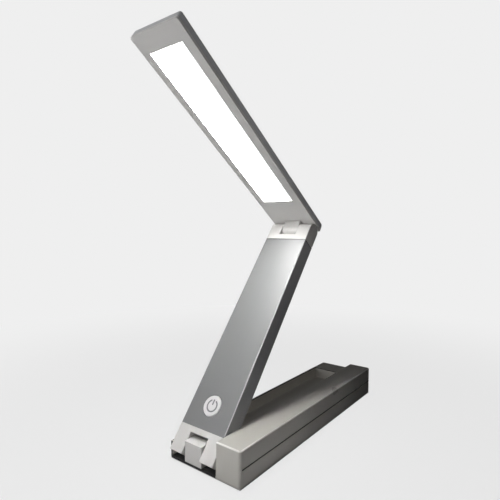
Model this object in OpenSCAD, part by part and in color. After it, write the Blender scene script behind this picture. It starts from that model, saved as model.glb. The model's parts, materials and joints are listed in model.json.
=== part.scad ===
// Folding desk lamp: a low tray with a battery rail beside it, a flat
// sleeve arm hinged in the tray and a flat light head hinged on the arm.
// All lengths are in millimetres, +Z is up and +Y points away from the
// hinge end. The origin is the centre of the base's footprint on the table.

/* [Base] */
// Width of the base, tray and rail together
base_w = 68; // [66:0.5:74]
// Width of the battery rail
rail_w = 22; // [21:0.5:24]
// Height of the battery rail's shell
rail_h = 26; // [25:0.5:32]
// Height of the tray wall, the rear shelf and the rail's parting line
tray_h = 12.5; // [11:0.5:14]
// Thickness of the base's side and end walls
wall_t = 1.8; // [1.5:0.1:2.2]
// Thickness of the base's floor
floor_t = 1.6; // [1.4:0.1:2]
// Length of the shelf behind the recess
shelf_len = 23.5; // [20:0.5:30]
// Plan radius of the base's outer corners
corner_r = 2; // [2:0.5:5]
// Plan radius of the base's inner and hinge-side corners
inner_corner_r = 1; // [0.5:0.1:1.4]
// Edge radius round the top of the rail
rail_edge_r = 1; // [0.6:0.1:1.6]
// How far the anti-slip pads stand out below the shell
pad_out = 0.5; // [0.3:0.1:1]

/* [Lower hinge] */
// Distance from the base's front face to the lower hinge axis
axis_y = 7.5; // [6.5:0.25:8.5]
// Gap between the folded arm and the tray floor
fold_gap = 0.8; // [0.6:0.1:1.2]
// Gap between the prongs and the tray floor with the arm upright
prong_gap = 0.65; // [0.4:0.05:1]
// Width of both hinge lugs
lug_w = 16.8; // [14:0.2:19]
// Gap between a lug and each prong
lug_gap = 0.5; // [0.4:0.05:0.8]
// Distance from the lower axis to the end of the fork's slot
slot_low = 8.4; // [8.2:0.1:9.5]
// Depth of the slope at the front of the lower lug
bevel_d = 4.5; // [3:0.25:6]
// Height lost over that slope
bevel_drop = 0.5; // [0.3:0.1:1.5]
// Radius of both hinge pins
pin_r = 2.3; // [1.8:0.1:2.8]
// Running clearance round a hinge pin
pin_fit = 0.05; // [0.03:0.01:0.08]
// Thickness of a friction washer
washer_t = 0.3; // [0.2:0.05:0.35]
// Outer radius of a friction washer
washer_r = 6; // [5:0.25:6.5]

/* [Arm] */
// Distance between the two hinge axes
hinge_span = 205; // [190:1:225]
// Thickness of the arm
arm_t = 15.2; // [14.8:0.1:16]
// Gap on each side of the folded arm
arm_gap = 0.5; // [0.4:0.1:1]
// Wall of the metal sleeve
sleeve_wall = 1.2; // [1:0.1:1.5]
// Distance from the lower axis to the sleeve
cap_low = 12.6; // [12:0.1:14]
// Distance from the sleeve to the upper axis
cap_high = 14; // [13:0.1:15]
// Distance from the upper axis to the end of its slot
slot_high = 8.6; // [8:0.1:10]
// Radius along the arm's four long edges
arm_edge_r = 0.9; // [0.5:0.1:1.1]
// How far each end cap reaches into the sleeve
plug_len = 6; // [5:0.2:6.4]
// Gap between a cap's plug and the sleeve
plug_fit = 0.15; // [0.1:0.05:0.25]
// Tilt of the arm above the table in the modelled pose
arm_rest = 51.6; // [45:0.1:60]

/* [Button] */
// Distance from the lower axis to the centre of the button
button_u = 30.6; // [30.4:0.1:36]
// Radius of the button's face
button_r = 7.9; // [7.5:0.1:8.8]
// Gap round the button's face
button_gap = 0.35; // [0.2:0.05:0.4]
// How far the button stands proud of the arm
button_proud = 0.4; // [0.2:0.05:0.5]
// Outer radius of the symbol's ring
ring_r = 4.9; // [4.5:0.1:5.2]
// Width of the symbol's lines
line_w = 1.1; // [0.8:0.05:1.3]

/* [Head] */
// Thickness of the light head
head_t = 7.3; // [7:0.1:7.8]
// Gap between the head and the rail beside it
rail_gap = 0.3; // [0.3:0.05:0.8]
// Gap between the arm and the folded head
head_gap = 0.6; // [0.5:0.05:1]
// How far the head's tip stops short of the base's front when folded
tip_gap = 0.1; // [0.1:0.1:2]
// How far the head's root reaches behind the upper axis
head_root = 10.8; // [9:0.1:12]
// Plan radius of the head's corners
head_corner_r = 2; // [2:0.5:5]
// Edge radius round the top of the head
head_edge_r = 1; // [0.5:0.1:1.5]
// Radius of the root's back edge, seen from the side
nose_r = 3.2; // [2:0.1:4.8]
// Half width of the head's lug along the head
neck_r = 7.1; // [6:0.1:7.3]
// Tilt of the head above level in the modelled pose
head_rest = 35; // [25:0.1:45]

/* [Light] */
// Distance from the window to the head's tip
lit_tip = 14.5; // [10:0.5:16]
// Distance from the window to the upper axis
lit_root = 36.4; // [30:0.1:50]
// Distance from the window to the head's tray side
lit_side = 6.6; // [5.5:0.1:7]
// Distance from the window to the head's rail side
lit_rail_side = 7.8; // [6.8:0.1:9]
// Depth of the window below the frame
lit_sunk = 1; // [0.8:0.1:1.2]
// Height of the underside frame
frame_h = 2.2; // [2:0.1:2.6]
// Wall of the head's two shells
head_wall = 1.5; // [1.2:0.1:1.6]

/* [Battery] */
// Length of one cell with its nub
cell_len = 50.5; // [48:0.25:50.5]
// Radius of one cell
cell_r = 7.1; // [6.9:0.05:7.15]
// Number of cells in line
cell_count = 4; // [4]

/* [Hidden] */
$fn = 48;
// Overrun of every cut
ov = 1;
// Thickness of the thin layers that a rounded shell is hulled from
layer_t = 0.05;

// Base
tray_w = base_w - rail_w;
floor_z = pad_out + floor_t;
tray_z = pad_out + tray_h;
rail_z = pad_out + rail_h;
axis_z = floor_z + fold_gap + arm_t / 2;
end_gap = 0.4;
recess_len = axis_y + hinge_span + arm_t / 2 + end_gap;
tray_len = recess_len + shelf_len;
shelf_t = 1.6;
// Anti-slip pads
pad_w = 8;
pad_sunk = 0.5;
pad_inset = 4;
pad_end = 20;
pad_side = 0.1;
door_pad_w = 10;
door_pad_len = 12;
// Battery bay, from the rail's front wall to its rear wall
plate_t = 0.5;
spring_len = 5;
rib_t = 1.6;
screw_bay = 5.8;
nub_len = 1;
nub_r = 2.7;
cell_gap = 0.2;
bay_y = wall_t + plate_t;
bay_len = cell_count * cell_len;
rib_y = bay_y + bay_len + spring_len + plate_t;
rail_len = rib_y + rib_t + screw_bay + wall_t;
rail_cx = tray_w + rail_w / 2;
cell_z = floor_z + cell_gap + cell_r;
plate_w = 12;
plate_h = 12;
coil_r = 5;
coil_tip_r = 3.2;
// Battery door
door_t = 1;
door_side = 3;
door_front = 6;
door_rear = 2.6;
door_fit = 0.25;
ledge_w = 0.6;
bay_open_gap = 1.2;
// Countersunk screws
screw_r = 1.1;
screw_head_r = 2;
screw_head_h = 0.8;
screw_fit = 0.05;
door_screw_len = 6;
boss_r = 2.4;
boss_h = 7;
door_screw_y = rib_y + rib_t + screw_bay / 2;
// Supply board and inlet
board_t = 1.2;
board_z = floor_z + 2 * cell_r + 2.7;
board_gap = 0.6;
board_len = 26;
post_r = 2;
inlet_w = 7.6;
inlet_h = 2.7;
inlet_d = 6.4;
inlet_wall = 0.4;
inlet_fit = 0.2;
inlet_recess = 0.6;

// Arm
arm_w = tray_w - wall_t - 2 * arm_gap;
arm_cx = wall_t + arm_gap + arm_w / 2;
sleeve_len = hinge_span - cap_low - cap_high;
sleeve_in_w = arm_w - 2 * sleeve_wall;
sleeve_in_t = arm_t - 2 * sleeve_wall;
sleeve_in_r = 0.4;
slot_w = lug_w + 2 * lug_gap;
prong_below = axis_z - floor_z - prong_gap;
prong_edge_r = 0.5;
pin_skin = 2.5;
pin_end_gap = 0.3;
pin_len = arm_w - 2 * pin_skin - 2 * pin_end_gap;
lug_r = arm_t / 2;
lug_top = axis_z + lug_r;
lug_screw_x = 5.4;
lug_screw_len = 4;
lug_screw_y = axis_y - axis_y / 2;
fork_screw_edge = 7.6;
fork_screw_x = arm_w / 2 - fork_screw_edge;
fork_screw_r = 1;
fork_head_r = 1.8;
fork_head_h = 1;
fork_screw_len = 4;
cable_w = 5;
cable_t = 0.5;
cable_gap = 0.6;

// Button and its switch
cap_rim = 0.5;
cap_depth = 2.2;
flange_r = button_r + 1.2;
flange_t = 1.2;
flange_gap = 0.3;
stem_r = 3;
press_room = 0.9;
carrier_wall = 1.2;
carrier_fit = 0.35;
carrier_in_r = flange_r + carrier_fit;
carrier_r = carrier_in_r + carrier_wall;
carrier_floor = 3.4;
carrier_top_gap = 0.4;
switch_w = 6;
switch_h = 3.1;
plunger_r = 1.7;
plunger_h = 1;
ring_gap_deg = 52;
bar_in = 0.7;
symbol_d = 0.3;
sleeve_in_top = arm_t / 2 - sleeve_wall;
cap_top = arm_t / 2 + button_proud;
flange_top = sleeve_in_top - flange_gap;
board_low = -sleeve_in_top + carrier_floor;
switch_low = board_low + board_t;
plunger_top = switch_low + switch_h + plunger_h;

// Head
head_w = tray_w - rail_gap;
head_x = -arm_cx;
head_lift = arm_t / 2 + head_gap;
head_reach = hinge_span + axis_y - tip_gap;
head_len = head_reach + head_root;
head_top = head_lift + head_t;
lit_x = head_x + lit_side;
lit_y = -head_reach + lit_tip;
lit_w = head_w - lit_side - lit_rail_side;
lit_len = head_reach - lit_tip - lit_root;
lip = 2;
diffuser_t = 1.4;
guide_t = 2.5;
reflector_t = 0.3;
guide_lip = 1.5;
strip_t = 1;
led_d = 1.2;
led_w = 3;
led_pitch = 13.4;
led_gap = 0.05;
head_screw_y = 4.6;
head_screw_len = 4;
head_screw_head_r = 1.9;
head_screw_head_h = 1;
shell_top_t = 1.4;
frame_pocket_fit = 0.1;

// A rectangle with its own radius at each corner, counted from the near
// left corner anticlockwise
module plan(w, l, r) {
    difference() {
        square([w, l]);
        corner_cut(0, 0, 1, 1, r[0]);
        corner_cut(w, 0, -1, 1, r[1]);
        corner_cut(w, l, -1, -1, r[2]);
        corner_cut(0, l, 1, -1, r[3]);
    }
}

module corner_cut(x, y, sx, sy, r) {
    if (r > 0)
        translate([x, y])
            scale([sx, sy])
                difference() {
                    translate([-ov, -ov]) square([r + ov, r + ov]);
                    translate([r, r]) circle(r);
                }
}

// A centred rectangle with one radius
module rrect(w, h, r) {
    square([w, h - 2 * r], center = true);
    square([w - 2 * r, h], center = true);
    for (sx = [-1, 1], sy = [-1, 1])
        translate([sx * (w / 2 - r), sy * (h / 2 - r)]) circle(r);
}

// Extrudes a side profile, drawn in Y and Z, across X from x
module across(w, x) {
    translate([x, 0, 0])
        rotate([90, 0, 90])
            linear_extrude(w) children();
}

// Extrudes a cross-section, drawn in X and Z, along Y from y
module along(len, y) {
    translate([0, y + len, 0])
        rotate([90, 0, 0])
            linear_extrude(len) children();
}

// A round bar along X, centred on X = 0
module bar(r, len) {
    rotate([0, 90, 0]) cylinder(r = r, h = len, center = true);
}

// A countersunk screw with its head's face at Z = 0, driven towards +Z
module csk_screw(grow, len) {
    rotate_extrude()
        polygon([
            [0, 0],
            [screw_head_r + grow, 0],
            [screw_r + grow, screw_head_h],
            [screw_r + grow, len],
            [0, len]
        ]);
}

// The base's frame has its origin at the near left corner of the footprint
module base_frame() {
    translate([-base_w / 2, -tray_len / 2, 0]) children();
}

// The arm's frame sits on the lower axis: +Y along the arm, +Z out of its
// front
module arm_frame() {
    base_frame()
        translate([arm_cx, axis_y, axis_z])
            rotate([arm_rest, 0, 0]) children();
}

// The head's frame sits on the upper axis: +Y from tip to root, +Z out of
// its top
module head_frame_at() {
    arm_frame()
        translate([0, hinge_span, 0])
            rotate([-arm_rest - head_rest, 0, 0]) children();
}

// Base
module base_outline() {
    plan(tray_w + corner_r, rail_len, [inner_corner_r, 0, 0, inner_corner_r]);
    plan(tray_w, tray_len, [inner_corner_r, 0, corner_r, corner_r]);
    translate([tray_w, 0])
        plan(rail_w, rail_len, [0, corner_r, corner_r, 0]);
}

module rail_inside() {
    translate([tray_w + wall_t, wall_t])
        square([rail_w - 2 * wall_t, rail_len - 2 * wall_t]);
}

module door_outline(grow) {
    translate([tray_w + door_side - grow, door_front - grow])
        square([
            rail_w - 2 * door_side + 2 * grow,
            rail_len - door_front - door_rear + 2 * grow
        ]);
}

module pad_shape(x, len, y, w, grow) {
    translate([x - grow, y - grow])
        square([w + 2 * grow, len + 2 * grow]);
}

module base_tray() {
    color("gainsboro")
        base_frame()
            difference() {
                union() {
                    translate([0, 0, pad_out])
                        linear_extrude(tray_h) base_outline();
                }
                // Recess that the arm folds into, open at the hinge end
                translate([wall_t, -ov, floor_z])
                    cube([tray_w - wall_t, recess_len + ov, tray_h]);
                // Hollow under the shelf
                translate([wall_t, recess_len + wall_t, 0])
                    cube([
                        tray_w - 2 * wall_t,
                        shelf_len - 2 * wall_t,
                        tray_z - shelf_t
                    ]);
                battery_bay();
                // Battery door's seat and the opening above it
                translate([0, 0, pad_out - ov])
                    linear_extrude(ov + door_t) door_outline(door_fit);
                translate([tray_w + door_side + ledge_w, door_front + bay_open_gap, 0])
                    cube([
                        rail_w - 2 * door_side - 2 * ledge_w,
                        rib_y - door_front - 2 * bay_open_gap,
                        floor_z + ov
                    ]);
                // Seats of the anti-slip pads
                linear_extrude(pad_out + pad_sunk) {
                    pad_left_plan(pad_side);
                    pad_centre_plan(pad_side);
                }
                // Screw holes under the lug and in the boss
                lug_screw_places() csk_screw(screw_fit, lug_screw_len + floor_t);
                translate([rail_cx, door_screw_y, pad_out + door_t - ov])
                    cylinder(r = screw_r + screw_fit, h = boss_h + floor_t + 2 * ov);
            }
}

module battery_bay() {
    difference() {
        translate([0, 0, floor_z]) linear_extrude(tray_h) rail_inside();
        // Rib behind the spring contact
        translate([tray_w, rib_y, 0]) cube([rail_w, rib_t, tray_z]);
        // Boss for the door's screw
        translate([rail_cx, door_screw_y, 0])
            cylinder(r = boss_r, h = floor_z + boss_h);
    }
}

module rail_cover() {
    color("gainsboro")
        base_frame()
            difference() {
                union() {
                    difference() {
                        rail_solid();
                        translate([0, 0, tray_z - ov])
                            linear_extrude(rail_z - tray_z - shelf_t + ov)
                                rail_inside();
                    }
                    // Posts that carry the supply board
                    for (i = [0, 1])
                        translate([
                            rail_cx,
                            rail_len - wall_t - board_gap - board_len / 2
                                + (2 * i - 1) * (board_len / 2 - 2 * post_r) - 2 * i * inlet_d / 2,
                            board_z + board_t
                        ])
                            cylinder(r = post_r, h = rail_z - shelf_t - board_z - board_t + ov / 2);
                }
                // Slot for the supply inlet
                translate([
                    rail_cx - inlet_w / 2 - inlet_fit,
                    rail_len - wall_t - ov,
                    board_z + board_t - inlet_fit
                ])
                    cube([
                        inlet_w + 2 * inlet_fit,
                        wall_t + 2 * ov,
                        inlet_h + 2 * inlet_fit
                    ]);
            }
}

// The rail's upper half, with a round edge all round its top
module rail_solid() {
    hull() {
        translate([0, 0, tray_z])
            linear_extrude(rail_z - tray_z - rail_edge_r) rail_plan(0);
        for (a = [0:18:90])
            translate([0, 0, rail_z - rail_edge_r * (1 - sin(a)) - layer_t])
                linear_extrude(layer_t) rail_plan(rail_edge_r * (1 - cos(a)));
    }
}

module rail_plan(inset) {
    translate([tray_w + inset, inset])
        plan(
            rail_w - 2 * inset,
            rail_len - 2 * inset,
            [inner_corner_r, corner_r, corner_r, inner_corner_r]
        );
}

module battery_door() {
    color("silver")
        base_frame()
            difference() {
                translate([0, 0, pad_out])
                    linear_extrude(door_t) door_outline(0);
                translate([rail_cx, door_screw_y, pad_out])
                    csk_screw(screw_fit, door_screw_len);
                linear_extrude(pad_out + pad_sunk) {
                    door_pad_plan(0, pad_side);
                    door_pad_plan(1, pad_side);
                }
            }
}

module door_screw() {
    color("dimgray")
        base_frame()
            translate([rail_cx, door_screw_y, pad_out])
                csk_screw(0, door_screw_len);
}

module pad_left_plan(grow) {
    pad_shape(pad_inset, recess_len - 2 * pad_end, pad_end, pad_w, grow);
}

module pad_centre_plan(grow) {
    pad_shape(base_w / 2 - pad_w / 2, recess_len - 2 * pad_end, pad_end, pad_w, grow);
}

module door_pad_plan(i, grow) {
    pad_shape(
        rail_cx - door_pad_w / 2,
        door_pad_len,
        i == 0 ? pad_end : rib_y - pad_end - door_pad_len,
        door_pad_w,
        grow
    );
}

module pad_left() {
    color("dimgray") base_frame() linear_extrude(pad_out + pad_sunk) pad_left_plan(0);
}

module pad_centre() {
    color("dimgray") base_frame() linear_extrude(pad_out + pad_sunk) pad_centre_plan(0);
}

module pad_door_front() {
    color("dimgray") base_frame() linear_extrude(pad_out + pad_sunk) door_pad_plan(0, 0);
}

module pad_door_rear() {
    color("dimgray") base_frame() linear_extrude(pad_out + pad_sunk) door_pad_plan(1, 0);
}

// Battery cells, each nub towards the hinge end
module cell(i) {
    color("darkslategray")
        base_frame()
            translate([rail_cx, bay_y + i * cell_len, cell_z])
                rotate([-90, 0, 0]) {
                    cylinder(r = nub_r, h = nub_len);
                    translate([0, 0, nub_len])
                        cylinder(r = cell_r, h = cell_len - nub_len);
                }
}

module cell_1() cell(0);
module cell_2() cell(1);
module cell_3() cell(2);
module cell_4() cell(3);

module contact_plate(y) {
    translate([rail_cx - plate_w / 2, y, cell_z - plate_h / 2])
        cube([plate_w, plate_t, plate_h]);
}

module contact_plus() {
    color("silver") base_frame() contact_plate(wall_t);
}

module contact_minus() {
    color("silver")
        base_frame() {
            contact_plate(rib_y - plate_t);
            translate([rail_cx, rib_y - plate_t - spring_len, cell_z])
                rotate([-90, 0, 0])
                    cylinder(r1 = coil_tip_r, r2 = coil_r, h = spring_len);
        }
}

module supply_board() {
    color("seagreen")
        base_frame()
            translate([
                tray_w + wall_t + board_gap,
                rail_len - wall_t - board_gap - board_len,
                board_z
            ])
                cube([
                    rail_w - 2 * wall_t - 2 * board_gap,
                    board_len,
                    board_t
                ]);
}

module supply_inlet() {
    color("silver")
        base_frame()
            translate([
                rail_cx - inlet_w / 2,
                rail_len - inlet_recess - inlet_d,
                board_z + board_t
            ])
                difference() {
                    cube([inlet_w, inlet_d, inlet_h]);
                    translate([inlet_wall, 2 * inlet_wall, inlet_wall])
                        cube([
                            inlet_w - 2 * inlet_wall,
                            inlet_d,
                            inlet_h - 2 * inlet_wall
                        ]);
                }
}

// Lower hinge
module lug_screw_places() {
    for (s = [-1, 1])
        translate([arm_cx + s * lug_screw_x, lug_screw_y, pad_out]) children();
}

module lower_lug() {
    color("whitesmoke")
        base_frame()
            difference() {
                across(lug_w, arm_cx - lug_w / 2)
                    difference() {
                        translate([0, floor_z])
                            plan(axis_y + lug_r, lug_top - floor_z, [0, 0, lug_r, 0]);
                        polygon([
                            [-ov, lug_top - bevel_drop * (1 + ov / bevel_d)],
                            [bevel_d, lug_top],
                            [bevel_d, lug_top + ov],
                            [-ov, lug_top + ov]
                        ]);
                    }
                translate([arm_cx, axis_y, axis_z]) bar(pin_r, lug_w + 2 * ov);
                lug_screw_places() csk_screw(screw_fit, lug_screw_len + floor_t);
            }
}

module lower_pin() {
    color("silver")
        base_frame()
            translate([arm_cx, axis_y, axis_z]) bar(pin_r, pin_len);
}

module washer(s) {
    translate([s * (lug_w + washer_t) / 2, 0, 0])
        difference() {
            bar(washer_r, washer_t);
            bar(pin_r, washer_t + 2 * ov);
        }
}

module lower_washer(s) {
    color("darkgray")
        base_frame()
            translate([arm_cx, axis_y, axis_z]) washer(s);
}

module lower_washer_left() lower_washer(-1);
module lower_washer_right() lower_washer(1);

module lug_screw(s) {
    color("dimgray")
        base_frame()
            translate([arm_cx + s * lug_screw_x, lug_screw_y, pad_out])
                csk_screw(0, lug_screw_len + floor_t);
}

module lug_screw_left() lug_screw(-1);
module lug_screw_right() lug_screw(1);

// Arm
module arm_section() {
    rrect(arm_w, arm_t, arm_edge_r);
}

module sleeve_inside(grow) {
    rrect(sleeve_in_w + 2 * grow, sleeve_in_t + 2 * grow, sleeve_in_r);
}

module arm_sleeve() {
    color("silver")
        arm_frame()
            difference() {
                along(sleeve_len, cap_low) arm_section();
                along(sleeve_len + 2 * ov, cap_low - ov) sleeve_inside(0);
                translate([0, button_u, 0])
                    cylinder(r = button_r + button_gap, h = arm_t);
                fork_screw_places()
                    translate([0, 0, -ov])
                        cylinder(r = fork_head_r + plug_fit, h = sleeve_wall + 2 * ov);
            }
}

// The four fork screws' places on the arm's back
module fork_screw_places() {
    for (s = [-1, 1], e = [0, 1])
        translate([s * fork_screw_x, fork_screw_u(e), -arm_t / 2]) children();
}

function fork_screw_u(e) =
    e == 0 ? cap_low + plug_len / 2 : hinge_span - cap_high - plug_len / 2;

module fork_screw_shape(grow) {
    translate([0, 0, sleeve_wall + plug_fit - fork_head_h])
        cylinder(r = fork_head_r + grow, h = fork_head_h);
    translate([0, 0, sleeve_wall + plug_fit])
        cylinder(r = fork_screw_r + grow, h = fork_screw_len);
}

module fork_screw(s, e) {
    color("dimgray")
        arm_frame()
            translate([s * fork_screw_x, fork_screw_u(e), -arm_t / 2])
                fork_screw_shape(0);
}

module fork_screw_low_left() fork_screw(-1, 0);
module fork_screw_low_right() fork_screw(1, 0);
module fork_screw_high_left() fork_screw(-1, 1);
module fork_screw_high_right() fork_screw(1, 1);

module plug(y) {
    along(plug_len + ov, y) sleeve_inside(-plug_fit);
}

module lower_fork() {
    color("whitesmoke")
        arm_frame()
            difference() {
                union() {
                    intersection() {
                        along(prong_below + cap_low, -prong_below) arm_section();
                        across(arm_w, -arm_w / 2) {
                            circle(arm_t / 2);
                            translate([-prong_below, 0])
                                plan(
                                    prong_below + cap_low,
                                    arm_t / 2,
                                    [0, 0, 0, prong_edge_r]
                                );
                            translate([0, -arm_t / 2]) square([cap_low, arm_t]);
                        }
                    }
                    along(plug_len + ov, cap_low - ov) sleeve_inside(-plug_fit);
                }
                translate([-slot_w / 2, -arm_t, -arm_t])
                    cube([slot_w, arm_t + slot_low, 2 * arm_t]);
                bar(pin_r + pin_fit, arm_w - 2 * pin_skin);
                fork_screw_places() fork_screw_shape(screw_fit);
            }
}

module upper_fork() {
    color("whitesmoke")
        arm_frame()
            difference() {
                union() {
                    intersection() {
                        along(cap_high + arm_t / 2, hinge_span - cap_high) arm_section();
                        across(arm_w, -arm_w / 2) {
                            translate([hinge_span, 0]) circle(arm_t / 2);
                            translate([hinge_span - cap_high, -arm_t / 2])
                                square([cap_high, arm_t]);
                        }
                    }
                    along(plug_len + ov, hinge_span - cap_high - plug_len)
                        sleeve_inside(-plug_fit);
                }
                translate([-slot_w / 2, hinge_span - slot_high, -arm_t])
                    cube([slot_w, arm_t + slot_high, 2 * arm_t]);
                translate([0, hinge_span, 0])
                    bar(pin_r + pin_fit, arm_w - 2 * pin_skin);
                fork_screw_places() fork_screw_shape(screw_fit);
            }
}

module arm_cable() {
    low = button_u + carrier_r + cable_gap;
    high = hinge_span - cap_high - plug_len - cable_gap;
    color("dimgray")
        arm_frame()
            translate([-cable_w / 2, low, -sleeve_in_top])
                cube([cable_w, high - low, cable_t]);
}

// Button and its switch
module switch_carrier() {
    color("dimgray")
        arm_frame()
            translate([0, button_u, -sleeve_in_top])
                difference() {
                    cylinder(r = carrier_r, h = 2 * sleeve_in_top - carrier_top_gap);
                    translate([0, 0, carrier_floor])
                        cylinder(r = carrier_in_r, h = arm_t);
                }
}

module switch_board() {
    color("seagreen")
        arm_frame()
            translate([0, button_u, board_low])
                cylinder(r = carrier_in_r - carrier_fit, h = board_t);
}

module tact_switch() {
    color("black")
        arm_frame()
            translate([0, button_u, switch_low]) {
                translate([-switch_w / 2, -switch_w / 2, 0])
                    cube([switch_w, switch_w, switch_h]);
                cylinder(r = plunger_r, h = switch_h + plunger_h);
            }
}

module button_cap() {
    stem_low = plunger_top + press_room;
    color("whitesmoke")
        arm_frame()
            translate([0, button_u, 0])
                difference() {
                    rotate_extrude()
                        polygon([
                            [0, stem_low],
                            [stem_r, stem_low],
                            [stem_r, flange_top - flange_t],
                            [flange_r, flange_top - flange_t],
                            [flange_r, flange_top],
                            [button_r, flange_top],
                            [button_r, cap_top - cap_rim],
                            [button_r - cap_rim, cap_top],
                            [0, cap_top]
                        ]);
                    translate([0, 0, cap_top - symbol_d])
                        linear_extrude(symbol_d + ov) {
                            symbol_ring_plan();
                            symbol_bar_plan();
                        }
                }
}

// A ring that is open at the top, with a bar in the opening
module symbol_ring_plan() {
    difference() {
        circle(ring_r);
        circle(ring_r - line_w);
        polygon([
            [0, 0],
            [2 * ring_r * sin(ring_gap_deg / 2), 2 * ring_r * cos(ring_gap_deg / 2)],
            [-2 * ring_r * sin(ring_gap_deg / 2), 2 * ring_r * cos(ring_gap_deg / 2)]
        ]);
    }
}

module symbol_bar_plan() {
    translate([-line_w / 2, bar_in]) square([line_w, ring_r - bar_in]);
}

module symbol_ring() {
    color("gray")
        arm_frame()
            translate([0, button_u, cap_top - symbol_d])
                linear_extrude(symbol_d) symbol_ring_plan();
}

module symbol_bar() {
    color("gray")
        arm_frame()
            translate([0, button_u, cap_top - symbol_d])
                linear_extrude(symbol_d) symbol_bar_plan();
}

// Head
module head_plan(inset) {
    translate([head_x + inset, -head_reach + inset])
        plan(
            head_w - 2 * inset,
            head_len - 2 * inset,
            [head_corner_r, head_corner_r, head_corner_r, head_corner_r]
        );
}

// How far a round edge of radius r has drawn in at height z
function drawn_in(z, r) =
    z <= head_top - r ? 0 : r - sqrt(max(r * r - pow(z - head_top + r, 2), 0));

// The head above its frame, round all along its top and rounder at the root
module head_solid() {
    hull() {
        head_layer(head_lift + frame_h + layer_t);
        head_layer(head_top - head_edge_r);
        for (a = [0:18:90]) head_layer(head_top - nose_r * (1 - sin(a)));
    }
}

module head_layer(z) {
    side = drawn_in(z, head_edge_r);
    root = drawn_in(z, nose_r);
    r = max(head_corner_r - side, layer_t);
    translate([head_x + side, -head_reach + side, z - layer_t])
        linear_extrude(layer_t, $fn = 32)
            plan(head_w - 2 * side, head_len - side - max(side, root), [r, r, r, r], $fn = 32);
}

module head_shell() {
    color("silver")
        head_frame_at()
            difference() {
                head_solid();
                translate([0, 0, head_lift])
                    linear_extrude(head_t - shell_top_t) head_cavity();
            }
}

// Room inside the head, which stops short of the root's round edge
module head_cavity() {
    translate([head_x + head_wall, -head_reach + head_wall])
        square([head_w - 2 * head_wall, head_reach + neck_r - head_wall]);
}

module window_plan(grow) {
    translate([lit_x - grow, lit_y - grow])
        square([lit_w + 2 * grow, lit_len + 2 * grow]);
}

module head_frame() {
    color("tan")
        head_frame_at()
            difference() {
                translate([0, 0, head_lift])
                    linear_extrude(frame_h) head_plan(0);
                translate([0, 0, head_lift + lit_sunk])
                    linear_extrude(frame_h) head_cavity();
                translate([0, 0, head_lift - ov])
                    linear_extrude(frame_h) window_plan(0);
                head_screw_places() head_screw_hole();
            }
}

module diffuser() {
    color("white")
        head_frame_at()
            translate([0, 0, head_lift + lit_sunk])
                linear_extrude(diffuser_t) window_plan(lip);
}

module light_guide() {
    color("aliceblue")
        head_frame_at()
            translate([0, 0, head_lift + lit_sunk + diffuser_t])
                linear_extrude(guide_t) window_plan(guide_lip);
}

module reflector() {
    color("white")
        head_frame_at()
            translate([0, 0, head_lift + lit_sunk + diffuser_t + guide_t])
                linear_extrude(reflector_t) window_plan(guide_lip);
}

// A strip of lights that shines into the guide's long edge
module led_strip() {
    x = lit_x + lit_w + lip + led_gap;
    z = head_lift + lit_sunk;
    count = floor((lit_len - led_w) / led_pitch);
    color("lightyellow")
        head_frame_at() {
            translate([x + led_d, lit_y, z])
                cube([strip_t, lit_len, diffuser_t + guide_t]);
            for (i = [0:count])
                translate([
                    x,
                    lit_y + (lit_len - count * led_pitch - led_w) / 2 + i * led_pitch,
                    z + diffuser_t
                ])
                    cube([led_d, led_w, guide_t]);
        }
}

module head_screw_places() {
    for (s = [-1, 1])
        translate([0, s * head_screw_y, head_lift + lit_sunk]) children();
}

// The head's screws point down into the lug
module head_screw_hole() {
    translate([0, 0, -head_screw_len - lit_sunk])
        cylinder(r = screw_r + screw_fit, h = head_screw_len + 2 * lit_sunk);
}

module head_screw(s) {
    color("dimgray")
        head_frame_at()
            translate([0, s * head_screw_y, head_lift + lit_sunk]) {
                cylinder(r = head_screw_head_r, h = head_screw_head_h);
                translate([0, 0, -head_screw_len])
                    cylinder(r = screw_r, h = head_screw_len);
            }
}

module head_screw_front() head_screw(-1);
module head_screw_rear() head_screw(1);

module head_lug() {
    color("whitesmoke")
        head_frame_at()
            difference() {
                across(lug_w, -lug_w / 2) {
                    circle(neck_r);
                    translate([-neck_r, 0]) square([2 * neck_r, head_lift]);
                }
                bar(pin_r, lug_w + 2 * ov);
                head_screw_places() head_screw_hole();
            }
}

module upper_pin() {
    color("silver") head_frame_at() bar(pin_r, pin_len);
}

module upper_washer_left() {
    color("darkgray") head_frame_at() washer(-1);
}

module upper_washer_right() {
    color("darkgray") head_frame_at() washer(1);
}

base_tray();
rail_cover();
battery_door();
door_screw();
pad_left();
pad_centre();
pad_door_front();
pad_door_rear();
cell_1();
cell_2();
cell_3();
cell_4();
contact_plus();
contact_minus();
supply_board();
supply_inlet();
lower_lug();
lower_pin();
lower_washer_left();
lower_washer_right();
lug_screw_left();
lug_screw_right();
arm_sleeve();
lower_fork();
upper_fork();
arm_cable();
fork_screw_low_left();
fork_screw_low_right();
fork_screw_high_left();
fork_screw_high_right();
switch_carrier();
switch_board();
tact_switch();
button_cap();
symbol_ring();
symbol_bar();
head_shell();
head_frame();
diffuser();
light_guide();
reflector();
led_strip();
head_lug();
upper_pin();
upper_washer_left();
upper_washer_right();
head_screw_front();
head_screw_rear();
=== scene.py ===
import json
import math

import bpy
from mathutils import Matrix, Vector

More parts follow.
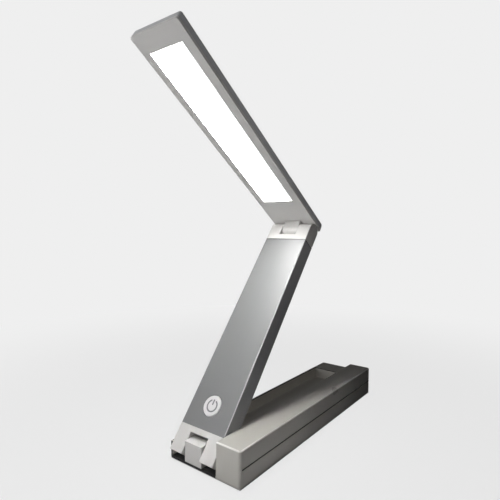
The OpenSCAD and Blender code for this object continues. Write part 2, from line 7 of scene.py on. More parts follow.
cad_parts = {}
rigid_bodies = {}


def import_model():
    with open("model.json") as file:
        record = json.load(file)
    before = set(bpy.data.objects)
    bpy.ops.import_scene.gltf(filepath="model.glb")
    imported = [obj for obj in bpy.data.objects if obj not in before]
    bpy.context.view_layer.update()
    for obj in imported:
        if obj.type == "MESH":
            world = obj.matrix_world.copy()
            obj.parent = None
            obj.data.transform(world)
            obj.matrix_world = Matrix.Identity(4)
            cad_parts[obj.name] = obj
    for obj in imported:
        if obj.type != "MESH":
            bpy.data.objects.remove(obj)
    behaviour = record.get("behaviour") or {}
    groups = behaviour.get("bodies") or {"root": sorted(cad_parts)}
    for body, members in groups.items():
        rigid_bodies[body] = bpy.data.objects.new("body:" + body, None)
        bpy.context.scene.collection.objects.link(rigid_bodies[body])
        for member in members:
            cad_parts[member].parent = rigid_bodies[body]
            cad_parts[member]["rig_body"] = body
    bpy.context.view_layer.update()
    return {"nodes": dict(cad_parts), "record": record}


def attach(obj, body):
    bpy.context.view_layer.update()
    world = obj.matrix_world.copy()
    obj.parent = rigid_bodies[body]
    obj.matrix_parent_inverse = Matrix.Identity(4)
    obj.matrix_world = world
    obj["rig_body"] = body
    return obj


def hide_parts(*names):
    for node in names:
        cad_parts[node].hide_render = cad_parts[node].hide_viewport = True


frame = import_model()
cad = frame["nodes"]

MM = 0.001

# The lower hinge's axis and the arm's tilt, as the joint and the CAD have them
ARM_MIDDLE = -10.1
LOWER = Vector((ARM_MIDDLE, -114.5, 10.5)) * MM
ARM_TILT = math.radians(51.6)

# Faces and places of the CAD, in millimetres: the base's in the frame's axes,
# the arm's and the button's in the arm's own
BASE_FRONT = -122
BASE_RIGHT = 34
DOOR_MIDDLE = 23
SEAM = 13
ARM_SIDE = 21.6
ARM_FRONT = 7.6
BUTTON_UP = 30.6
BUTTON_RADIUS = 7.9
FLANGE_RADIUS = 9.1


def arm_frame(x, y, z):
    """A point of the arm's own frame, in millimetres: y runs up the arm, z out of its front"""
    return LOWER + Matrix.Rotation(ARM_TILT, 3, "X") @ (Vector((x, y, z)) * MM)


def hexa(code):
    """An sRGB hex colour as linear red, green, blue and alpha"""
    parts = [int(code[i:i + 2], 16) / 255 for i in (0, 2, 4)]
    return [c / 12.92 if c < 0.04045 else ((c + 0.055) / 1.055) ** 2.4 for c in parts] + [1]


# Materials

MULTIPLY = {"operation": "MULTIPLY"}
MULTIPLY_ADD = {"operation": "MULTIPLY_ADD"}
MAXIMUM = {"operation": "MAXIMUM"}
COLOURS = {"data_type": "RGBA"}
POINT = {"vector_type": "POINT"}

# Most of a noise's values lie between these two
NOISE_LOW = 0.3
NOISE_HIGH = 0.7

# How far a mark's edge fades, in millimetres
CRISP = 0.1


def add(tree, kind, settings=None, **sockets):
    """Adds a node with its settings, and sets or links each socket that is named"""
    node = tree.nodes.new("ShaderNode" + kind)
    for name, value in (settings or {}).items():
        setattr(node, name, value)
    for name, value in sockets.items():
        number = name[1:]
        socket = node.inputs[int(number) if number.isdigit() else name.replace("_", " ")]
        if isinstance(value, bpy.types.NodeSocket):
            tree.links.new(value, socket)
        else:
            socket.default_value = value
    return node


def empty_tree(owner):
    """The node tree of a new material or world, with nothing in it yet"""
    owner.use_nodes = True
    owner.node_tree.nodes.clear()
    return owner.node_tree


def start(name):
    """A new material with its principled shader, and the mesh's own coordinates in metres"""
    material = bpy.data.materials.new(name)
    tree = empty_tree(material)
    shader = add(tree, "BsdfPrincipled")
    add(tree, "OutputMaterial", Surface=shader.outputs[0])
    place = add(tree, "TexCoord").outputs["Object"]
    return material, tree, shader, place


def patch(tree, *bands):
    """1 inside every band and 0 outside: a value in metres, then low, high and fade in millimetres"""
    inside = 1.0
    for value, low, high, fade in bands:
        above = add(tree, "MapRange", _0=value, _1=(low - fade) * MM, _2=low * MM)
        below = add(
            tree, "MapRange", _0=value, _1=high * MM, _2=(high + fade) * MM, _3=1.0, _4=0.0
        )
        band = add(tree, "Math", MULTIPLY, _0=above.outputs[0], _1=below.outputs[0])
        inside = add(tree, "Math", MULTIPLY, _0=band.outputs[0], _1=inside).outputs[0]
    return inside


def silver_lacquered_abs(name, low, high, rough, mirror, marks=None):
    # Moulded ABS under a silver lacquer: a satin grey with hardly any mirror,
    # a fine orange peel and flakes that mottle it a little
    material, tree, shader, place = start(name)
    # Flakes are about 0.05 mm, drawn 0.4 mm so that they show
    flake = add(tree, "TexNoise", Vector=place, Scale=1 / (0.4 * MM), Detail=2.0, Roughness=0.6)
    # Handling marks, about 30 mm across
    cloud = add(tree, "TexNoise", Vector=place, Scale=1 / (30 * MM), Detail=3.0, Roughness=0.55)
    flakes = add(tree, "Math", MULTIPLY, _0=flake.outputs["Fac"], _1=0.65)
    mottle = add(
        tree, "Math", MULTIPLY_ADD, _0=cloud.outputs["Fac"], _1=0.35, _2=flakes.outputs[0]
    )
    colour = add(
        tree, "Mix", COLOURS, _0=mottle.outputs[0], _6=hexa(low), _7=hexa(high)
    ).outputs[2]
    # Marks drawn over the lacquer, on the base a painted highlight and painted shade
    if marks:
        colour = marks(tree, place, colour)
    tree.links.new(colour, shader.inputs["Base Color"])
    shader.inputs["Specular IOR Level"].default_value = mirror
    span = add(
        tree, "MapRange", _0=cloud.outputs["Fac"],
        _1=NOISE_LOW, _2=NOISE_HIGH, _3=rough - 0.05, _4=rough + 0.06,
    )
    tree.links.new(span.outputs[0], shader.inputs["Roughness"])
    # Orange peel of the lacquer, 0.9 mm
    peel = add(tree, "TexNoise", Vector=place, Scale=1 / (0.9 * MM), Detail=2.0)
    bump = add(tree, "Bump", Strength=0.25, Distance=0.02 * MM, Height=peel.outputs["Fac"])
    tree.links.new(bump.outputs[0], shader.inputs["Normal"])
    return material


def base_painted_light(tree, place, colour):
    # Marks where the photographed base is lighter or darker than its lacquer: a painted highlight along
    # the rail's top edges at its front and right side, painted shade in the groove of its seam, and a
    # darker patch at the end of the tray's left wall
    at = add(tree, "SeparateXYZ", _0=place)
    from_front = add(
        tree, "Math", {"operation": "ADD"}, _0=at.outputs["Y"], _1=-BASE_FRONT * MM
    )
    from_right = add(
        tree, "Math", {"operation": "SUBTRACT"}, _0=BASE_RIGHT * MM, _1=at.outputs["X"]
    )
    nearest = add(
        tree, "Math", {"operation": "MINIMUM"},
        _0=from_front.outputs[0], _1=from_right.outputs[0],
    )
    # Painted highlight along the rail's top edges at its front and right side
    rail_edge_highlight = (nearest.outputs[0], -1, 0.6, 0.5), (at.outputs["Z"], 25.9, 30, 0.6)
    # Painted shade in the groove of the rail's seam, darker than the groove alone
    rail_seam_shade = (
        (at.outputs["Z"], SEAM - 0.5, SEAM + 0.5, CRISP),
        (at.outputs["Y"], -119.8, 99, CRISP),
    )
    wall_end = (at.outputs["X"], -35, -32.2, CRISP), (at.outputs["Y"], -123, -121.5, CRISP)
    # E6E4E0 is the painted highlight, 24221F the seam's painted shade and 535150 the darker end of the
    # tray's left wall
    for bands, code in ((rail_edge_highlight, "E6E4E0"), (rail_seam_shade, "24221F"), (wall_end, "535150")):
        colour = add(
            tree, "Mix", COLOURS, _0=patch(tree, *bands), _6=colour, _7=hexa(code)
        ).outputs[2]
    return colour


def moulded_abs(name, low, high, rough):
    # Through-coloured ABS from a spark-eroded mould: matt, with an even fine
    # grain and hardly any sheen
    material, tree, shader, place = start(name)
    cloud = add(tree, "TexNoise", Vector=place, Scale=1 / (18 * MM), Detail=3.0, Roughness=0.5)
    colour = add(tree, "Mix", COLOURS, _0=cloud.outputs["Fac"], _6=hexa(low), _7=hexa(high))
    tree.links.new(colour.outputs[2], shader.inputs["Base Color"])
    span = add(
        tree, "MapRange", _0=cloud.outputs["Fac"],
        _1=NOISE_LOW, _2=NOISE_HIGH, _3=rough - 0.04, _4=rough + 0.05,
    )
    tree.links.new(span.outputs[0], shader.inputs["Roughness"])
    # Spark-erosion grain is 0.1 to 0.2 mm, drawn 0.35 mm so that it shows
    grain = add(
        tree, "TexVoronoi", {"feature": "SMOOTH_F1"}, Vector=place, Scale=1 / (0.35 * MM)
    )
    bump = add(tree, "Bump", Strength=0.22, Distance=0.03 * MM, Height=grain.outputs["Distance"])
    tree.links.new(bump.outputs[0], shader.inputs["Normal"])
    return material


def hairline_aluminium():
    # Extruded aluminium tube, brushed along its length and anodised: hairlines
    # up the arm that widen the shine across it
    material, tree, shader, place = start("hairline_anodised_aluminium")
    turned = add(tree, "Mapping", POINT, Vector=place, Rotation=(-ARM_TILT, 0, 0)).outputs[0]
    # Brush lines are about 0.08 mm apart and 25 mm long, drawn 0.3 mm apart.
    # Where the brush pressed harder there are streaks of about 3 by 90 mm
    along_lines, along_streaks = (
        add(
            tree, "Mapping", POINT, Vector=turned,
            Scale=(1 / (apart * MM), 1 / (length * MM), 1 / (apart * MM)),
        ).outputs[0]
        for apart, length in ((0.3, 25), (3, 90))
    )
    line = add(tree, "TexNoise", Vector=along_lines, Scale=1.0, Detail=3.0, Roughness=0.7)
    streak = add(tree, "TexNoise", Vector=along_streaks, Scale=1.0, Detail=2.0)
    lines = add(tree, "Math", MULTIPLY, _0=line.outputs["Fac"], _1=0.6)
    brushing = add(
        tree, "Math", MULTIPLY_ADD, _0=streak.outputs["Fac"], _1=0.4, _2=lines.outputs[0]
    )
    # The front's two long edges are lighter in the photograph, drawn as a painted highlight, and its
    # upper end is a dark line, drawn as painted shade in the joint with the cap
    at = add(tree, "SeparateXYZ", _0=turned)
    origin = arm_frame(0, 0, 0) @ Matrix.Rotation(ARM_TILT, 3, "X") / MM
    across = add(tree, "Math", {"operation": "ADD"}, _0=at.outputs["X"], _1=-ARM_MIDDLE * MM)
    outwards = add(tree, "Math", {"operation": "ABSOLUTE"}, _0=across.outputs[0])
    front = origin.z + ARM_FRONT
    # Painted highlight along the front's two long edges
    edges = patch(
        tree,
        (outwards.outputs[0], ARM_SIDE - 0.4, ARM_SIDE + 1.4, CRISP),
        (at.outputs["Z"], front - 0.65, front + 1.4, CRISP),
    )
    # Painted shade at the front's upper end, in the joint with the cap
    joint = patch(tree, (at.outputs["Y"], origin.y + 190.4, origin.y + 195, CRISP))
    colour = add(
        tree, "Mix", COLOURS, _0=brushing.outputs[0], _6=hexa("7C7C7D"), _7=hexa("8F8F8F")
    )
    # BEBEBE is the painted highlight and 303030 the painted shade
    for mask, code in ((edges, "BEBEBE"), (joint, "303030")):
        colour = add(tree, "Mix", COLOURS, _0=mask, _6=colour.outputs[2], _7=hexa(code))
    tree.links.new(colour.outputs[2], shader.inputs["Base Color"])
    shader.inputs["Metallic"].default_value = 1.0
    span = add(
        tree, "MapRange", _0=brushing.outputs[0],
        _1=NOISE_LOW, _2=NOISE_HIGH, _3=0.52, _4=0.64,
    )
    tree.links.new(span.outputs[0], shader.inputs["Roughness"])
    bump = add(tree, "Bump", Strength=0.2, Distance=0.02 * MM, Height=line.outputs["Fac"])
    tree.links.new(bump.outputs[0], shader.inputs["Normal"])
    return material


def opal_acrylic():
    # Extruded opal acrylic, lit from inside: cool white with a cloudy warmth.
    # It lights the lamp more from its tip than from its root, fitted to the
    # photograph, and to the eye it is plain white, so its outline stays clean
    material, tree, shader, place = start("lit_opal_acrylic")
    shader.inputs["Base Color"].default_value = hexa("F6F6F4")
    shader.inputs["Roughness"].default_value = 0.35
    cloud = add(tree, "TexNoise", Vector=place, Scale=1 / (40 * MM), Detail=1.0)
    warmth = add(
        tree, "Mix", COLOURS, _0=cloud.outputs["Fac"], _6=hexa("FDFEFF"), _7=hexa("FFFFFB")
    )
    tree.links.new(warmth.outputs[2], shader.inputs["Emission Color"])
    at = add(tree, "SeparateXYZ", _0=place)
    tip, root = -149 * MM, -17 * MM
    tip_glow, root_glow, seen_glow = 82.0, 9.0, 1.1
    cast = add(
        tree, "MapRange", _0=at.outputs["Y"], _1=tip, _2=root, _3=tip_glow, _4=root_glow
    )
    path = add(tree, "LightPath")
    strength = add(
        tree, "Mix", _0=path.outputs["Is Camera Ray"], _2=cast.outputs[0], _3=seen_glow
    )
    tree.links.new(strength.outputs[0], shader.inputs["Emission Strength"])
    return material


def clear_acrylic():
    # Laser-dotted clear acrylic guide: water-clear with a frosted back
    material, tree, shader, place = start("dotted_clear_acrylic")
    shader.inputs["Base Color"].default_value = hexa("F4F9FA")
    shader.inputs["Transmission Weight"].default_value = 0.7
    shader.inputs["IOR"].default_value = 1.49
    # Dots 1.5 mm apart
    dots = add(tree, "TexVoronoi", Vector=place, Scale=1 / (1.5 * MM), Randomness=0.0)
    span = add(
        tree, "MapRange", _0=dots.outputs["Distance"], _1=0.2, _2=0.35, _3=0.5, _4=0.08
    )
    tree.links.new(span.outputs[0], shader.inputs["Roughness"])
    return material


def white_film(name, code, rough):
    # Foamed polyester film or white solder mask: bright, matt white with
    # fibres that cloud it a little
    material, tree, shader, place = start(name)
    fibre = add(tree, "TexNoise", Vector=place, Scale=1 / (2 * MM), Detail=4.0)
    colour = add(
        tree, "Mix", COLOURS, _0=fibre.outputs["Fac"], _6=hexa(code), _7=hexa("FBFBF8")
    )
    tree.links.new(colour.outputs[2], shader.inputs["Base Color"])
    shader.inputs["Roughness"].default_value = rough
    return material


def frosted_button():
    # Polished, milky polycarbonate: smoother than the arm, with a soft depth
    material, tree, shader, place = start("milky_polycarbonate")
    cloud = add(tree, "TexNoise", Vector=place, Scale=1 / (5 * MM), Detail=2.0)
    colour = add(
        tree, "Mix", COLOURS, _0=cloud.outputs["Fac"], _6=hexa("C8C6C7"), _7=hexa("D3D1D1")
    )
    tree.links.new(colour.outputs[2], shader.inputs["Base Color"])
    shader.inputs["Roughness"].default_value = 0.3
    shader.inputs["IOR"].default_value = 1.58
    shader.inputs["Coat Weight"].default_value = 0.15
    shader.inputs["Coat Roughness"].default_value = 0.15
    return material


def pad_print():
    # Grey pad-printed ink: flat, matt, a little uneven at its edge
    material, tree, shader, place = start("grey_pad_print")
    cloud = add(tree, "TexNoise", Vector=place, Scale=1 / (0.6 * MM), Detail=2.0)
    colour = add(
        tree, "Mix", COLOURS, _0=cloud.outputs["Fac"], _6=hexa("6C6D70"), _7=hexa("7C7D80")
    )
    tree.links.new(colour.outputs[2], shader.inputs["Base Color"])
    shader.inputs["Roughness"].default_value = 0.55
    return material


def fibreglass_board():
    # Glass-epoxy board under green solder mask: glossy over a fine weave
    material, tree, shader, place = start("green_fibreglass_board")
    # Weave of the glass cloth, about 0.5 mm, drawn coarser: at a scale of 1 the
    # bands are 0.63 apart along an axis, so these are 2 mm apart
    weave = add(
        tree, "TexWave", {"wave_type": "BANDS", "bands_direction": "DIAGONAL"},
        Vector=place, Scale=1 / (3.15 * MM), Distortion=0.4,
    )
    colour = add(
        tree, "Mix", COLOURS, _0=weave.outputs["Fac"], _6=hexa("1E5A36"), _7=hexa("2A6E45")
    )
    tree.links.new(colour.outputs[2], shader.inputs["Base Color"])
    shader.inputs["Roughness"].default_value = 0.28
    return material


def film_jacket():
    # Shrunk PVC film round a cell: glossy dark teal, with small wrinkles
    material, tree, shader, place = start("shrunk_pvc_jacket")
    wrinkle = add(tree, "TexNoise", Vector=place, Scale=1 / (4 * MM), Detail=2.0)
    colour = add(
        tree, "Mix", COLOURS, _0=wrinkle.outputs["Fac"], _6=hexa("24434A"), _7=hexa("2E525A")
    )
    tree.links.new(colour.outputs[2], shader.inputs["Base Color"])
    shader.inputs["Roughness"].default_value = 0.25
    bump = add(tree, "Bump", Strength=0.15, Distance=0.05 * MM, Height=wrinkle.outputs["Fac"])
    tree.links.new(bump.outputs[0], shader.inputs["Normal"])
    return material


def plated_metal(name, low, high, rough, grain):
    # Turned or pressed steel with a thin plating: bright where it is smooth,
    # with fine tool marks of the given width in millimetres
    material, tree, shader, place = start(name)
    mark = add(tree, "TexNoise", Vector=place, Scale=1 / (grain * MM), Detail=3.0)
    colour = add(tree, "Mix", COLOURS, _0=mark.outputs["Fac"], _6=hexa(low), _7=hexa(high))
    tree.links.new(colour.outputs[2], shader.inputs["Base Color"])
    shader.inputs["Metallic"].default_value = 1.0
    span = add(
        tree, "MapRange", _0=mark.outputs["Fac"],
        _1=NOISE_LOW, _2=NOISE_HIGH, _3=rough - 0.06, _4=rough + 0.08,
    )
    tree.links.new(span.outputs[0], shader.inputs["Roughness"])
    return material


def soft_matt(name, low, high, rough, grain):
    # Silicone rubber, acetal or PVC: dull and dark, with dust in a fine grain
    # of the given width in millimetres
    material, tree, shader, place = start(name)
    dust = add(tree, "TexNoise", Vector=place, Scale=1 / (grain * MM), Detail=4.0, Roughness=0.6)
    colour = add(tree, "Mix", COLOURS, _0=dust.outputs["Fac"], _6=hexa(low), _7=hexa(high))
    tree.links.new(colour.outputs[2], shader.inputs["Base Color"])
    shader.inputs["Roughness"].default_value = rough
    bump = add(tree, "Bump", Strength=0.2, Distance=0.03 * MM, Height=dust.outputs["Fac"])
    tree.links.new(bump.outputs[0], shader.inputs["Normal"])
    return material


FINISH = {
    "base_plastic": silver_lacquered_abs(
        "silver_lacquered_abs", "A5A29D", "B7B4AE", 0.32, 0.5, base_painted_light
    ),
    "head_plastic": silver_lacquered_abs(
        "dark_silver_lacquered_abs", "BCBCBE", "CDCDCF", 0.4, 0.5
    ),
    "frame_plastic": silver_lacquered_abs(
        "warm_silver_lacquered_abs", "D9D7D5", "E6E4E2", 0.46, 0.3
    ),
    "cap_plastic": moulded_abs("pale_moulded_abs", "BBB9B7", "C6C4C2", 0.42),
    "inner_plastic": moulded_abs("black_moulded_abs", "1B1B1C", "262627", 0.5),
    "sleeve_metal": hairline_aluminium(),
    "diffuser_opal": opal_acrylic(),
    "guide_clear": clear_acrylic(),
    "reflector_white": white_film("foamed_polyester_film", "F0F0EC", 0.6),
    "led_board": white_film("white_solder_mask", "E9E9E2", 0.35),
    "button_plastic": frosted_button(),
    "symbol_print": pad_print(),
    "board": fibreglass_board(),
    "cell_jacket": film_jacket(),
    "contact_metal": plated_metal("nickel_plated_steel", "B9B4A8", "D0CBC0", 0.25, 0.8),
    "pin_steel": plated_metal("ground_steel", "A9AAAC", "C4C5C6", 0.2, 0.5),
    "screw_steel": plated_metal("black_zinc_steel", "3E3F42", "5A5B5E", 0.35, 0.3),
    "washer": soft_matt("grey_acetal", "6E6F71", "7B7C7E", 0.5, 1.0),
    "cable_sleeve": soft_matt("black_pvc", "1D1D1E", "28282A", 0.45, 1.5),
    "pad_rubber": soft_matt("black_silicone_rubber", "1E1E1F", "2C2C2D", 0.75, 0.5),
}

SLOT = {row["node"]: row["material_slot"] for row in frame["record"]["subparts"]}
for name, node in cad.items():
    node.data.materials.clear()
    node.data.materials.append(FINISH[SLOT[name]])


# Shapes

def take(piece):
    """Makes a piece the only one that the next operator acts on"""
    bpy.ops.object.select_all(action="DESELECT")
    piece.select_set(True)
    bpy.context.view_layer.objects.active = piece
    return piece


def settle(piece, name, node, smooth=30, replace=True):
    """Finishes a piece: its name, its place in its mesh, its material and its body

    It stands for the CAD node, or with replace off only joins that node's body.
    """
    take(piece)
    bpy.ops.object.transform_apply(location=True, rotation=True, scale=True)
    bpy.ops.object.shade_smooth_by_angle(angle=math.radians(smooth))
    shade = piece.modifiers.new("Flat faces", "WEIGHTED_NORMAL")
    shade.keep_sharp = True
    bpy.ops.object.modifier_apply(modifier=shade.name)
    piece.name = piece.data.name = name
    piece.data.materials.clear()
    piece.data.materials.append(FINISH[SLOT[node]])
    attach(piece, cad[node]["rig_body"])
    if replace:
        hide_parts(node)


def same_shape(node):
    """A merged copy of a CAD node's mesh, flat faces whole again, to be worked on"""
    piece = bpy.data.objects.new(node, cad[node].data.copy())
    bpy.context.scene.collection.objects.link(piece)
    take(piece)
    bpy.ops.object.mode_set(mode="EDIT")
    bpy.ops.mesh.select_all(action="SELECT")
    bpy.ops.mesh.customdata_custom_splitnormals_clear()
    bpy.ops.mesh.remove_doubles(threshold=1e-6)
    bpy.ops.mesh.dissolve_limited(angle_limit=math.radians(0.5))
    bpy.ops.object.mode_set(mode="OBJECT")
    return piece


def break_edges(piece, width, left_sharp=None):
    """Rounds the sharp edges by width millimetres, but for those with both ends where left_sharp says"""
    bpy.ops.object.mode_set(mode="EDIT")
    bpy.ops.mesh.select_mode(type="EDGE")
    bpy.ops.mesh.select_all(action="DESELECT")
    bpy.ops.mesh.edges_select_sharp(sharpness=math.radians(30))
    bpy.ops.object.mode_set(mode="OBJECT")
    if left_sharp:
        for edge in piece.data.edges:
            if all(left_sharp(piece.data.vertices[v].co / MM) for v in edge.vertices):
                edge.select = False
    bpy.ops.object.mode_set(mode="EDIT")
    bpy.ops.mesh.bevel(
        offset=width * MM, segments=3, affect="EDGES",
        clamp_overlap=not left_sharp, miter_outer="ARC",
    )
    bpy.ops.object.mode_set(mode="OBJECT")
    return piece


def pick(piece, test):
    """In edit mode, selects only the faces whose centre, in millimetres, and normal pass the test"""
    bpy.ops.object.mode_set(mode="EDIT")
    bpy.ops.mesh.select_mode(type="FACE")
    bpy.ops.mesh.select_all(action="DESELECT")
    bpy.ops.object.mode_set(mode="OBJECT")
    for face in piece.data.polygons:
        face.select = test(face.center / MM, face.normal)
    bpy.ops.object.mode_set(mode="EDIT")


def push(x, y, z):
    """Extrudes what is selected by that many millimetres"""
    bpy.ops.mesh.extrude_region_move(TRANSFORM_OT_translate={"value": (x * MM, y * MM, z * MM)})


def block(centre, size):
    """A box by its centre and size in millimetres, to be shaped or to cut with"""
    bpy.ops.object.select_all(action="DESELECT")
    bpy.ops.mesh.primitive_cube_add(size=1)
    box = bpy.context.object
    box.scale = Vector(size) * MM
    box.location = Vector(centre) * MM
    bpy.ops.object.transform_apply(location=True, rotation=True, scale=True)
    return box


def cut_out(piece, tool):
    """Cuts the tool's shape out of a piece, and removes the tool"""
    take(piece)
    cut = piece.modifiers.new("Cut", "BOOLEAN")
    cut.operation = "DIFFERENCE"
    cut.object = tool
    bpy.ops.object.modifier_apply(modifier=cut.name)
    bpy.data.objects.remove(tool)


# The shell's seam shows along the rail's side and far end as a groove, and
# its front is one smooth face
def on_rail_front(at):
    return at.y < BASE_FRONT + 2.1 and abs(at.z - SEAM) < 0.01


GROOVES = (
    ((33, -120, SEAM - 0.4), (35, 94.9, SEAM + 0.4)),
    ((14, 96, SEAM - 0.4), (31.9, 98, SEAM + 0.4)),
)
for name in ("base_tray", "rail_cover"):
    piece = same_shape(name)
    for low, high in GROOVES:
        cut_out(piece, block((Vector(high) + Vector(low)) / 2, Vector(high) - Vector(low)))
    settle(break_edges(piece, 0.25, on_rail_front), name + "_finished", name)

for name, width in {
    "battery_door": 0.2,
    "pad_left": 0.25,
    "pad_centre": 0.25,
    "pad_door_front": 0.25,
    "pad_door_rear": 0.25,
    "supply_inlet": 0.12,
    "lower_lug": 0.35,
    "arm_sleeve": 0.3,
    "lower_fork": 0.3,
    "upper_fork": 0.18,
    "head_lug": 0.18,
    "head_shell": 0.2,
    "head_frame": 0.25,
    "diffuser": 0.2,
}.items():
    settle(break_edges(same_shape(name), width), name + "_finished", name)


def cross_screw(node, head, inward, across):
    """The CAD's screw with a cross recess of across millimetres in its face, centred at head"""
    piece = break_edges(same_shape(node), 0.08)
    for turn in (0, 90):
        wing = block((0, 0, 0), (across, across * 0.26, across))
        pick(wing, lambda at, normal: normal.z < -0.9)
        bpy.ops.transform.resize(value=(0.45, 0.8, 1), center_override=(0, 0, 0))
        bpy.ops.object.mode_set(mode="OBJECT")
        wing.matrix_world = (
            Matrix.Translation(head)
            @ Vector((0, 0, -1)).rotation_difference(inward).to_matrix().to_4x4()
            @ Matrix.Rotation(math.radians(turn + 20), 4, "Z")
        )
        cut_out(piece, wing)
    settle(piece, node + "_finished", node)


UP = Vector((0, 0, 1))
OUT = Matrix.Rotation(ARM_TILT, 3, "X") @ UP
BASE_RECESS, ARM_RECESS = 2.2, 2.0
cross_screw("door_screw", Vector((DOOR_MIDDLE, 92.3, 0.5)) * MM, UP, BASE_RECESS)
for name, side in (("left", -1), ("right", 1)):
    lug_screw = Vector((ARM_MIDDLE + side * 5.4, -118.25, 0.5)) * MM
    cross_screw("lug_screw_" + name, lug_screw, UP, BASE_RECESS)
    for end, up_arm in (("low", 15.6), ("high", 188)):
        fork_screw = arm_frame(side * 14, up_arm, -7.25)
        cross_screw("fork_screw_" + end + "_" + name, fork_screw, OUT, ARM_RECESS)


def button():
    # A milky cap with a round rim, a face sunk inside it, a flange that holds
    # it behind the sleeve and a stem that meets the switch
    bpy.ops.object.select_all(action="DESELECT")
    bpy.ops.mesh.primitive_cylinder_add(
        vertices=96, radius=BUTTON_RADIUS * MM, depth=1.9 * MM,
        location=(0, BUTTON_UP * MM, 7.05 * MM),
    )
    cap = bpy.context.object
    bpy.ops.object.transform_apply(location=True, rotation=True, scale=True)
    pick(cap, lambda at, normal: normal.z > 0.99)
    bpy.ops.mesh.bevel(offset=0.5 * MM, segments=5, affect="EDGES")
    pick(cap, lambda at, normal: normal.z > 0.999)
    # The rim's width, then the rounded step down to the face
    for inwards, down in ((0.75, 0), (0.12, -0.03), (0.15, -0.12), (0.12, -0.03)):
        bpy.ops.mesh.inset(thickness=inwards * MM, depth=down * MM)
    pick(cap, lambda at, normal: normal.z < -0.99)
    push(0, 0, 0)
    widen = FLANGE_RADIUS / BUTTON_RADIUS
    bpy.ops.transform.resize(value=(widen, widen, 1), center_override=(0, BUTTON_UP * MM, 0))
    push(0, 0, -1.2)
    bpy.ops.mesh.inset(thickness=6.1 * MM, depth=0)
    push(0, 0, -1.7)
    bpy.ops.object.mode_set(mode="OBJECT")
    cap.matrix_world = Matrix.Translation(LOWER) @ Matrix.Rotation(ARM_TILT, 4, "X")
    settle(cap, "button_cap_finished", "button_cap", 40)


button()


def door_grip():
    # Four low ridges for a thumb at the door's near end
    ridge = Vector((DOOR_MIDDLE, -113.2, 0.4))
    grip = block(ridge, (10, 0.9, 0.3))
    pick(grip, lambda at, normal: normal.z < -0.9)
    bpy.ops.transform.resize(value=(0.96, 0.5, 1), center_override=ridge * MM)
    bpy.ops.mesh.bevel(offset=0.08 * MM, segments=2, affect="EDGES")
    bpy.ops.object.mode_set(mode="OBJECT")
    row = grip.modifiers.new("Row", "ARRAY")
    row.use_relative_offset = False
    row.use_constant_offset = True
    row.constant_offset_displace = (0, 1.8 * MM, 0)
    row.count = 4
    bpy.ops.object.modifier_apply(modifier=row.name)
    settle(grip, "door_grip", "battery_door", replace=False)


door_grip()


def front_strip():
    # A thin dark strip over the tray's open end, under the prongs, drawn in the pads' black rubber,
    # which makes the tray's front dark there: on the floor, round its front edge and down to the bottom
    strip = block((-10.15, -115.5, 2.2), (44.1, 13, 0.2))
    pick(strip, lambda at, normal: normal.y < -0.9)
    push(0, -0.2, 0)
    pick(strip, lambda at, normal: normal.z < -0.9 and at.y < BASE_FRONT)
    push(0, 0, -1.5)
    pick(strip, lambda at, normal: normal.y < -0.9 or normal.z > 0.9)
    bpy.ops.mesh.bevel(offset=0.06 * MM, segments=2, affect="EDGES")
    bpy.ops.object.mode_set(mode="OBJECT")
    settle(strip, "front_strip", "pad_left", replace=False)


front_strip()


# Stage

def aim(thing, place, target):
    """Puts a lamp or screen at a place, in metres, facing the target"""
    thing.location = place
    facing = Vector(target) - Vector(place)
    thing.rotation_euler = facing.to_track_quat("-Z", "Y").to_euler()


# The camera that was fitted to the photograph: its place in millimetres, and
# its turn to the left, dip and roll in degrees
CAMERA_PLACE = (205.33, -334.42, 172.6)
CAMERA_TURN = 37.676
CAMERA_DIP = 2.6698
CAMERA_ROLL = 0.2546
CAMERA_LENS = 30.517

camera_data = bpy.data.cameras.new("camera")
camera_data.sensor_width = 36
camera_data.lens = CAMERA_LENS
camera_data.clip_start = 0.01
camera = bpy.data.objects.new("camera", camera_data)
bpy.context.scene.collection.objects.link(camera)
camera.matrix_world = Matrix.Translation(Vector(CAMERA_PLACE) * MM) @ (
    Matrix.Rotation(math.radians(CAMERA_TURN), 4, "Z")
    @ Matrix.Rotation(math.radians(90 - CAMERA_DIP), 4, "X")
    @ Matrix.Rotation(math.radians(CAMERA_ROLL), 4, "Z")
)
bpy.context.scene.camera = camera

BACKGROUND = "EFEFEF"
DARK_SCREEN = "202020"


def studio_world():
    # The camera's, mirrored and clear rays see the background, and the rest a
    # weak fill
    world = bpy.data.worlds.new("studio")
    bpy.context.scene.world = world
    tree = empty_tree(world)
    path = add(tree, "LightPath")
    seen = path.outputs["Is Camera Ray"]
    for ray in ("Is Glossy Ray", "Is Transmission Ray"):
        seen = add(tree, "Math", MAXIMUM, _0=seen, _1=path.outputs[ray]).outputs[0]
    fill = add(tree, "Background", Color=hexa("F4F6FA"), Strength=0.03)
    pale = add(tree, "Background", Color=hexa(BACKGROUND), Strength=1.0)
    mix = add(tree, "MixShader", _0=seen, _1=fill.outputs[0], _2=pale.outputs[0])
    add(tree, "OutputWorld", Surface=mix.outputs[0])


studio_world()


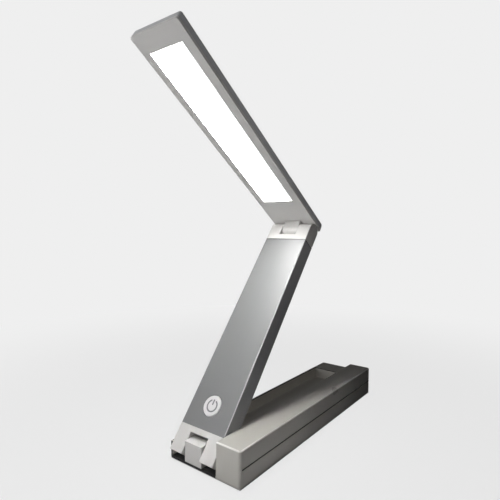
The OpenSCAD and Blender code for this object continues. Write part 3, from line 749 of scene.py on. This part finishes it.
def pale_table():
    # The table is plain to the eye, with a soft shadow near the lamp. To every
    # other ray it is a matt table in the window's light, pale but for a dark
    # part at the back right
    material = bpy.data.materials.new("pale_table")
    tree = empty_tree(material)
    place = add(tree, "TexCoord").outputs["Object"]
    at = add(tree, "SeparateXYZ", _0=place)
    distance = add(tree, "VectorMath", {"operation": "LENGTH"}, _0=place)
    near = add(
        tree, "MapRange", {"interpolation_type": "SMOOTHSTEP"},
        _0=distance.outputs["Value"], _1=0.15, _2=0.6, _3=0.1, _4=0.0,
    )
    # Right under the tray and the rail it is dark, seen from above
    under_tray = patch(
        tree, (at.outputs["X"], -33.7, 12, CRISP), (at.outputs["Y"], -121.7, 121.7, CRISP)
    )
    under_rail = patch(
        tree, (at.outputs["X"], 11.9, 33.8, CRISP), (at.outputs["Y"], -121.7, 96.7, CRISP)
    )
    under = add(tree, "Math", MAXIMUM, _0=under_tray, _1=under_rail)
    behind = add(tree, "NewGeometry").outputs["Backfacing"]
    from_above = add(tree, "MapRange", _0=behind, _3=1.0, _4=0.0)
    contact = add(tree, "Math", MULTIPLY, _0=under.outputs[0], _1=from_above.outputs[0])
    share = add(tree, "Math", MAXIMUM, _0=near.outputs[0], _1=contact.outputs[0])
    lit = add(tree, "BsdfDiffuse", Color=hexa("B0B0B0"))
    glow = add(tree, "Emission", Color=hexa(BACKGROUND), Strength=1.0)
    shown = add(tree, "MixShader", _0=share.outputs[0], _1=glow.outputs[0], _2=lit.outputs[0])
    right = add(tree, "MapRange", _0=at.outputs["X"], _1=0.0, _2=0.06)
    back = add(tree, "MapRange", _0=at.outputs["Y"], _1=-0.08, _2=0.1)
    corner = add(tree, "Math", MULTIPLY, _0=right.outputs[0], _1=back.outputs[0])
    colour = add(
        tree, "Mix", COLOURS, _0=corner.outputs[0], _6=hexa(BACKGROUND), _7=hexa("303030")
    )
    table = add(tree, "BsdfDiffuse", Color=colour.outputs[2])
    path = add(tree, "LightPath")
    mix = add(
        tree, "MixShader",
        _0=path.outputs["Is Camera Ray"], _1=table.outputs[0], _2=shown.outputs[0],
    )
    add(tree, "OutputMaterial", Surface=mix.outputs[0])
    return material


# Just under the pads, so that the two faces don't meet
bpy.ops.mesh.primitive_plane_add(size=8, location=(0, 0, -0.0001))
floor = bpy.context.object
floor.name = "floor"
floor.data.materials.append(pale_table())

# Two dark screens behind the lamp, which its flat tops and its right side
# mirror, and a pale card at the left front for the arm and the head's
# underside, which only shows in mirror images
for name, code, width, height, place, target in (
    ("dark_screen", DARK_SCREEN, 1.2, 1.0, (-0.15, 0.75, 0.45), (-0.15, 0, 0.45)),
    ("side_screen", DARK_SCREEN, 1.0, 0.26, (0.75, 0.6, 0.08), (0, 0, 0.08)),
    ("pale_card", "DFDFDF", 1.4, 1.2, (-0.7, -0.65, 0.75), (0, -0.08, 0.1)),
):
    bpy.ops.mesh.primitive_plane_add(size=1)
    screen = bpy.context.object
    screen.name = name
    screen.scale = (width, height, 1)
    screen.visible_camera = False
    screen.visible_diffuse = name != "pale_card"
    aim(screen, place, target)
    material = bpy.data.materials.new(name)
    tree = empty_tree(material)
    # The ramp is one colour from end to end. With a plain colour in its place
    # the lamp renders a little lighter
    at = add(tree, "SeparateXYZ", _0=add(tree, "TexCoord").outputs["Object"])
    ramp = add(tree, "ValToRGB", Fac=at.outputs["Y"])
    for stop in ramp.color_ramp.elements:
        stop.color = hexa(code)
    glow = add(tree, "Emission", Color=ramp.outputs["Color"])
    add(tree, "OutputMaterial", Surface=glow.outputs[0])
    screen.data.materials.append(material)


def lamp(name, kind, power, place, target):
    """Adds a lamp of that power at a place, in metres, facing the target"""
    data = bpy.data.lights.new(name, kind)
    data.energy = power
    light = bpy.data.objects.new(name, data)
    bpy.context.scene.collection.objects.link(light)
    aim(light, place, target)
    return light


# The lamps are set for the photographed side, so other sides are darker
for name, watts, size, place, target in (
    ("low_front", 7.5, 0.6, (-0.3, -1.1, 0.06), (0, -0.1, 0.1)),
    ("near", 0.012, 0.05, (0.03, -0.18, 0.14), (0.01, -0.115, 0.02)),
    ("right", 0.11, 0.12, (0.45, -0.45, 0.4), (0, -0.05, 0.12)),
    ("beside", 0.018, 0.04, (0.16, -0.08, 0.22), (0.01, -0.04, 0.2)),
    ("up", 0.0095, 0.06, (-0.01, -0.17, 0.03), (-0.01, -0.05, 0.22)),
):
    light = lamp(name, "AREA", watts, place, target)
    light.data.size = size
    light.visible_camera = False
    light.visible_glossy = name != "low_front"

# Low daylight on the back and the left side, which the photographed view
# doesn't show, and which nothing mirrors
daylight = lamp("daylight", "SUN", 2.8, (-0.77, 0.63, 0.04), (0, 0, 0))
daylight.data.angle = math.radians(4)
daylight.visible_glossy = False

bpy.context.scene.view_settings.view_transform = "Standard"
